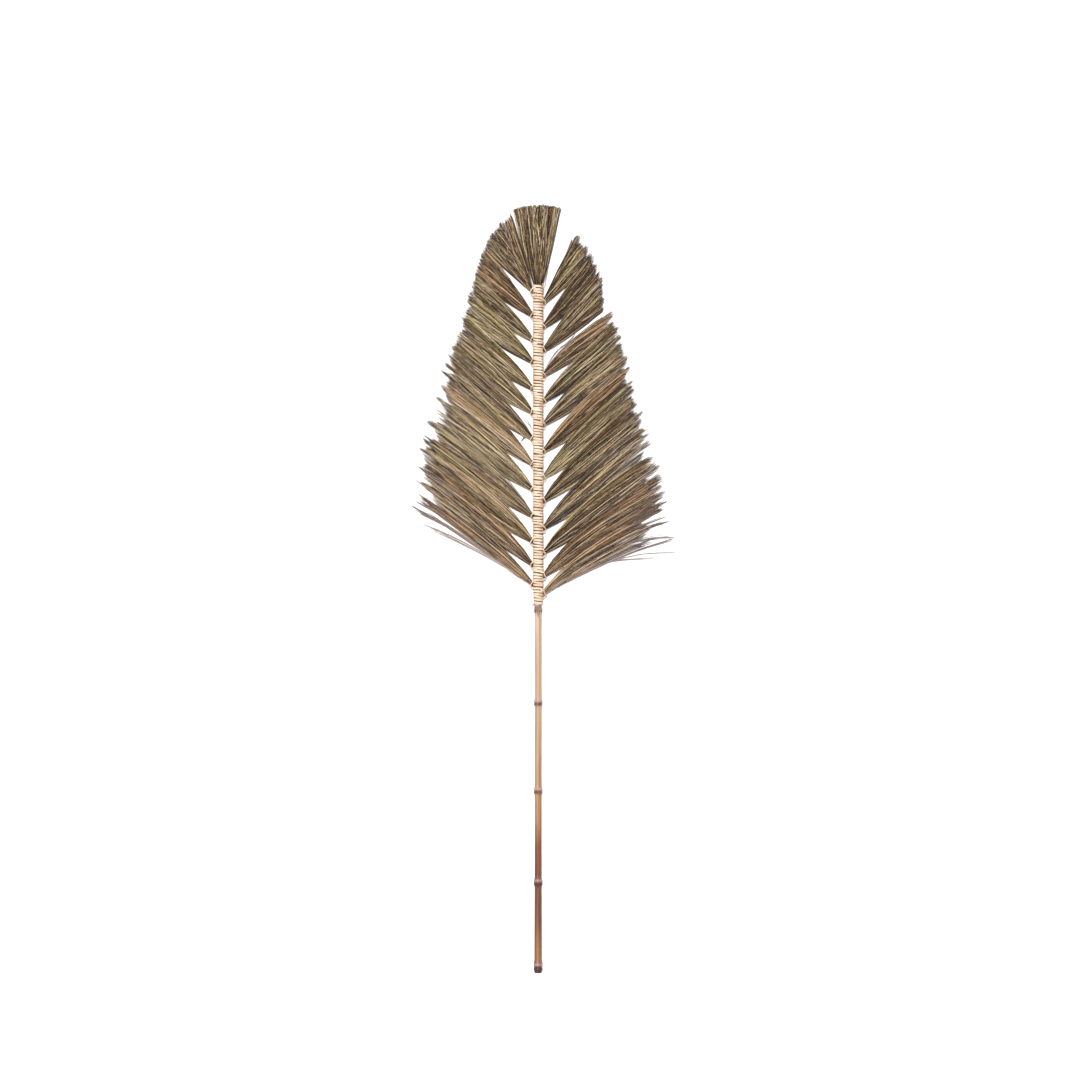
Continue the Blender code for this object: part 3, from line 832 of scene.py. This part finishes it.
def build_bundles(material):
    named = [("bundle_top", TOP_BUNDLE, TOP_FORM, 1)]
    named += [(f"bundle_{name}", bundle, SIDE_FORM, side) for name, side, bundle in side_bundles()]
    for index, (name, bundle, form, side) in enumerate(named):
        draw = np.random.default_rng([SEED, index])
        bundle_stalks(name, bundle, form, side, draw, material)


def wisp_paths(wisp, draw):
    """Routes of the stalks of one wisp, which part a little towards their tips."""
    route = smooth_route(np.array(wisp.route) * MM, WISP_STEPS)
    run = np.concatenate([[0.0], np.cumsum(np.linalg.norm(np.diff(route, axis=0), axis=1))])
    reach = draw.uniform(WISP_SHORTEST, 1, wisp.stalks)[:, None] * WISP_STATIONS * run[-1]
    outward = np.interp(reach, run, route[:, 0])
    height = np.interp(reach, run, route[:, 1])
    across = heading(np.degrees(np.arctan2(*(route[-1] - route[0]))) + 90)
    spread = draw.normal(0, WISP_SPREAD, wisp.stalks)[:, None] * (reach / run[-1]) ** WISP_SPREAD_POWER
    lift = mix(0.0, WISP_TIP_HEIGHT - AXIS_HEIGHT, reach / run[-1])
    return place(wisp.side * (outward + spread * across[0]), height + spread * across[1], lift)


def build_wisps(draw, material):
    paths = np.concatenate([wisp_paths(wisp, draw) for wisp in WISPS])
    count = len(paths)
    radii = WISP_RADII * draw.uniform(*WISP_WIDTHS, count)[:, None]
    paths[..., 2] = np.maximum(paths[..., 2], radii)
    stalks = [wisp.stalks for wisp in WISPS]
    tone = np.repeat([wisp.tone for wisp in WISPS], stalks) + draw.normal(0, WISP_TONE, count)
    attributes = {
        "tone": tone[:, None],
        "warmth": draw.normal(0, STRAND_WARMTH, count)[:, None],
        "fading": np.repeat([wisp.fading for wisp in WISPS], stalks)[:, None],
    }
    spins = draw.uniform(0, 2 * math.pi, count)
    put_on(stalk_mesh("wisps", paths, radii, spins, material, attributes), "grass")


# Binding

def binding_scale(height):
    """The winding narrows at its foot, where it holds the cane alone."""
    share = np.clip((height - BINDING_FOOT) / BINDING_FOOT_RISE, 0, 1)
    return mix(BINDING_FOOT_SCALE, 1.0, share)


def oval(height, turn, inset):
    """Offsets from the axis on the winding's oval, and the oval's outward direction there."""
    half_width = BINDING_HALF_WIDTH * binding_scale(height) - inset
    half_height = BINDING_HALF_HEIGHT * binding_scale(height) - inset
    sideways = half_width * np.cos(turn)
    lift = half_height * np.sin(turn)
    outward = unit(np.stack([np.cos(turn) / half_width, 0 * turn, np.sin(turn) / half_height], axis=-1))
    return sideways, lift, outward


def build_strip(draw, material):
    """One strip wound up the cane, with turns that wander a little and lie more or less tight."""
    turns = (BINDING_TOP - BINDING_FOOT - STRIP_WIDTH) / STRIP_PITCH
    turn = np.arange(round(turns * STRIP_STEPS)) / STRIP_STEPS
    knots = np.arange(math.ceil(turns) * 2 + 2) / 2
    wander = np.interp(turn, knots, draw.normal(0, STRIP_WANDER, len(knots)))
    loose = np.interp(turn, knots, draw.uniform(0, STRIP_LOOSENESS, len(knots)))
    widths = STRIP_WIDTH * np.interp(turn, knots, draw.uniform(*STRIP_WIDTHS, len(knots)))
    height = BINDING_FOOT + STRIP_WIDTH / 2 + STRIP_PITCH * turn + wander
    height = np.clip(height, BINDING_FOOT + STRIP_WIDTH / 2, BINDING_TOP - STRIP_WIDTH / 2)
    sideways, lift, outward = oval(height, 2 * math.pi * turn, STRIP_THICKNESS)
    path = place(sideways, height, lift) + outward * loose[:, None]
    thicknesses = np.full(len(turn), STRIP_THICKNESS)
    item = band_mesh("rattan_strip", path, outward, widths, thicknesses, material)
    return put_on(item, "rattan", "binding")


def build_core(material):
    """Ribbed oval body under the strip."""
    heights = np.arange(BINDING_FOOT + CORE_MARGIN, BINDING_TOP - CORE_MARGIN, CORE_STEP)[:, None]
    turn = np.arange(CORE_SIDES) * 2 * math.pi / CORE_SIDES
    groove = CORE_GROOVE * (1 + np.cos(CORE_RIBS * turn)) / 2
    turn = np.broadcast_to(turn, (len(heights), CORE_SIDES))
    sideways, lift, _ = oval(heights, turn, CORE_INSET + groove)
    points = place(sideways, heights, lift)[:, ::-1]
    item = new_mesh("binding_core", points.reshape(-1, 3), tube_faces(len(heights), CORE_SIDES), material)
    return put_on(item, "grass")


def build_hitch(name, bundle, side, draw, material):
    """Strand that comes off the winding, crosses the foot of a bundle and goes back under."""
    route = np.array(HITCH_ROUTE) * MM
    route[2:-2] += draw.normal(0, HITCH_JITTER, route[2:-2].shape)
    route = smooth_route(route, HITCH_STEPS)
    path = place(side * route[:, 0], bundle.foot * MM + route[:, 1], route[:, 2])
    outward = unit(np.stack([side * route[:, 0], 0 * route[:, 0], route[:, 2] + HITCH_RISE], axis=-1))
    widths = np.full(len(path), HITCH_WIDTH * draw.uniform(*HITCH_WIDTHS))
    thicknesses = np.full(len(path), HITCH_THICKNESS)
    return put_on(band_mesh(f"hitch_{name}", path, outward, widths, thicknesses, material), "rattan")


def build_hitches(draw, material):
    for name, side, bundle in side_bundles():
        build_hitch(name, bundle, side, draw, material)


# Cane

CANE_SIDES = 64
OVALITY = 0.012
OVALITY_TWIST = 9

# Profile of a node: height from it in millimetres, and share of its swelling
NODE_SHAPE = [
    (-11, 0.0), (-7, 0.2), (-4, 0.75), (-2, 0.95), (-0.4, 0.7),
    (0.3, 0.4), (1.0, 0.8), (3.0, 1.0), (5.5, 0.55), (10, 0.0),
]

# Colour bands round a node: height from it and reach in millimetres, and strength
Band = namedtuple("Band", "offset reach strength")
SCAR_BAND = Band(-2.0, 3.8, 1.0)
BLOOM_BAND = Band(4.5, 3.0, 0.9)
SHEATH_POINT = 692 * MM
SHEATH_TOP = 716 * MM
SHEATH_BLUR = 2 * MM
SHEATH_SHARE = 0.7

# Rows of the cane's mesh
FIRST_ROW = 0.9 * MM
FINE_STEP = 0.6 * MM
FINE_REACH = 10 * MM
COARSE_STEP = 9 * MM
COARSE_START = 30 * MM

# Cut end, a little hollow: heights above the butt, and shares of the radius of the first row
END_HEIGHTS = np.array([1.2, 1.0, 0.35, 0.0]) * MM
END_SHARES = np.array([0.08, 0.45, 0.72, 0.93])


def cane_heights():
    """Rows along the cane: close together at the nodes and the butt."""
    rows = [
        np.arange(FIRST_ROW, 2.5 * FINE_REACH, FINE_STEP),
        np.arange(COARSE_START, CANE_TOP, COARSE_STEP),
    ]
    for node in CANE_NODES:
        rows.append(np.arange(node - 2 * FINE_REACH, node + FINE_REACH, FINE_STEP))
    return np.unique(np.round(np.concatenate(rows), 5))


def cane_radius(height):
    """Radius along the cane: its taper, its swollen nodes and its swollen butt."""
    radius = np.interp(height, *zip(*CANE_TAPER))
    steps, shares = zip(*NODE_SHAPE)
    for node in CANE_NODES:
        radius = radius + NODE_SWELL * np.interp((height - node) / MM, steps, shares)
    rise = np.clip((height - BUTT_TOP) / BUTT_BLEND, 0, 1)
    rise = rise * rise * (3 - 2 * rise)
    waist = WAIST_DEPTH * np.exp(-((height - BUTT_WAIST) / WAIST_SPREAD) ** 2)
    edge = BUTT_EDGE_DEPTH * np.clip(1 - height / BUTT_EDGE, 0, 1) ** BUTT_EDGE_POWER
    return mix(BUTT_RADIUS - waist - edge, radius, rise)


def node_bands(heights, band):
    """Strength of a colour band at each height, from the nearest node."""
    steps = (heights[:, None] - [*CANE_NODES, BUTT_NODE]) / MM
    return np.max(band.strength * np.exp(-((steps - band.offset) / band.reach) ** 2), axis=1)


def sheath(height, turn):
    """Rest of a leaf sheath below the binding, on the upper side: it ends in a point."""
    rim = mix(SHEATH_POINT, SHEATH_TOP, np.abs(np.cos(turn)))
    inside = np.clip((height - rim) / SHEATH_BLUR, 0, 1) * (height < SHEATH_TOP + SHEATH_BLUR)
    return SHEATH_SHARE * inside * (np.sin(turn) > 0)


def build_cane(material):
    heights = cane_heights()
    radii = cane_radius(heights)
    radii = np.concatenate([radii[0] * END_SHARES, radii])
    heights = np.concatenate([END_HEIGHTS, heights])
    turn = np.arange(CANE_SIDES) * 2 * math.pi / CANE_SIDES
    ovality = 1 + OVALITY * np.cos(2 * turn + OVALITY_TWIST * heights[:, None])
    reach = np.minimum(radii[:, None] * ovality, axis_height(heights)[:, None])
    points = place(reach * np.cos(turn), heights[:, None], reach * np.sin(turn))[:, ::-1]
    scar = np.maximum(node_bands(heights, SCAR_BAND)[:, None], sheath(heights[:, None], turn[::-1]))
    cut = np.arange(len(heights)) < len(END_HEIGHTS)
    attributes = {
        "height": np.repeat(heights / CANE_COLOURS_TOP, CANE_SIDES),
        "scar": scar.ravel(),
        "bloom": np.repeat(node_bands(heights, BLOOM_BAND), CANE_SIDES),
        "cut": np.repeat(cut, CANE_SIDES),
    }
    faces = tube_faces(len(heights), CANE_SIDES)
    item = new_mesh("bamboo_cane", points.reshape(-1, 3), faces, material, attributes)
    return put_on(item, "bamboo", "cane")


# Stage

def build_floor():
    material, _, shader = new_material("floor", 0.9, 0.1)
    shader.inputs["Base Color"].default_value = FLOOR_COLOUR
    half = FLOOR_SIZE / 2
    corners = ((-half, -half), (half, -half), (half, half), (-half, half))
    points = [(x, y, -FLOOR_DROP) for x, y in corners]
    new_mesh("floor", points, [np.array([[0, 1, 2, 3]])], material)


def build_light():
    sun = bpy.data.lights.new("sun", "SUN")
    sun.energy = SUN_STRENGTH
    sun.angle = SUN_ANGLE
    item = bpy.data.objects.new("sun", sun)
    item.rotation_euler = (*SUN_LEAN, 0)
    bpy.context.scene.collection.objects.link(item)
    world = bpy.data.worlds.new("studio")
    world.use_nodes = True
    background = world.node_tree.nodes["Background"]
    background.inputs["Color"].default_value = (*SKY_COLOUR, 1)
    background.inputs["Strength"].default_value = SKY_STRENGTH
    bpy.context.scene.world = world
    bpy.context.scene.view_settings.view_transform = "Standard"


def build_camera():
    data = bpy.data.cameras.new("camera")
    data.lens = CAMERA_LENS
    camera = bpy.data.objects.new("camera", data)
    camera.location = CAMERA_AT
    bpy.context.scene.collection.objects.link(camera)
    bpy.context.scene.camera = camera


build_camera()
build_light()
build_floor()
build_cane(bamboo_material())
rattan = rattan_material()
build_strip(np.random.default_rng([SEED, STRIP_STREAM]), rattan)
build_hitches(np.random.default_rng([SEED, HITCH_STREAM]), rattan)
build_core(core_material())
grass = grass_material()
build_bundles(grass)
build_wisps(np.random.default_rng([SEED, WISP_STREAM]), grass)
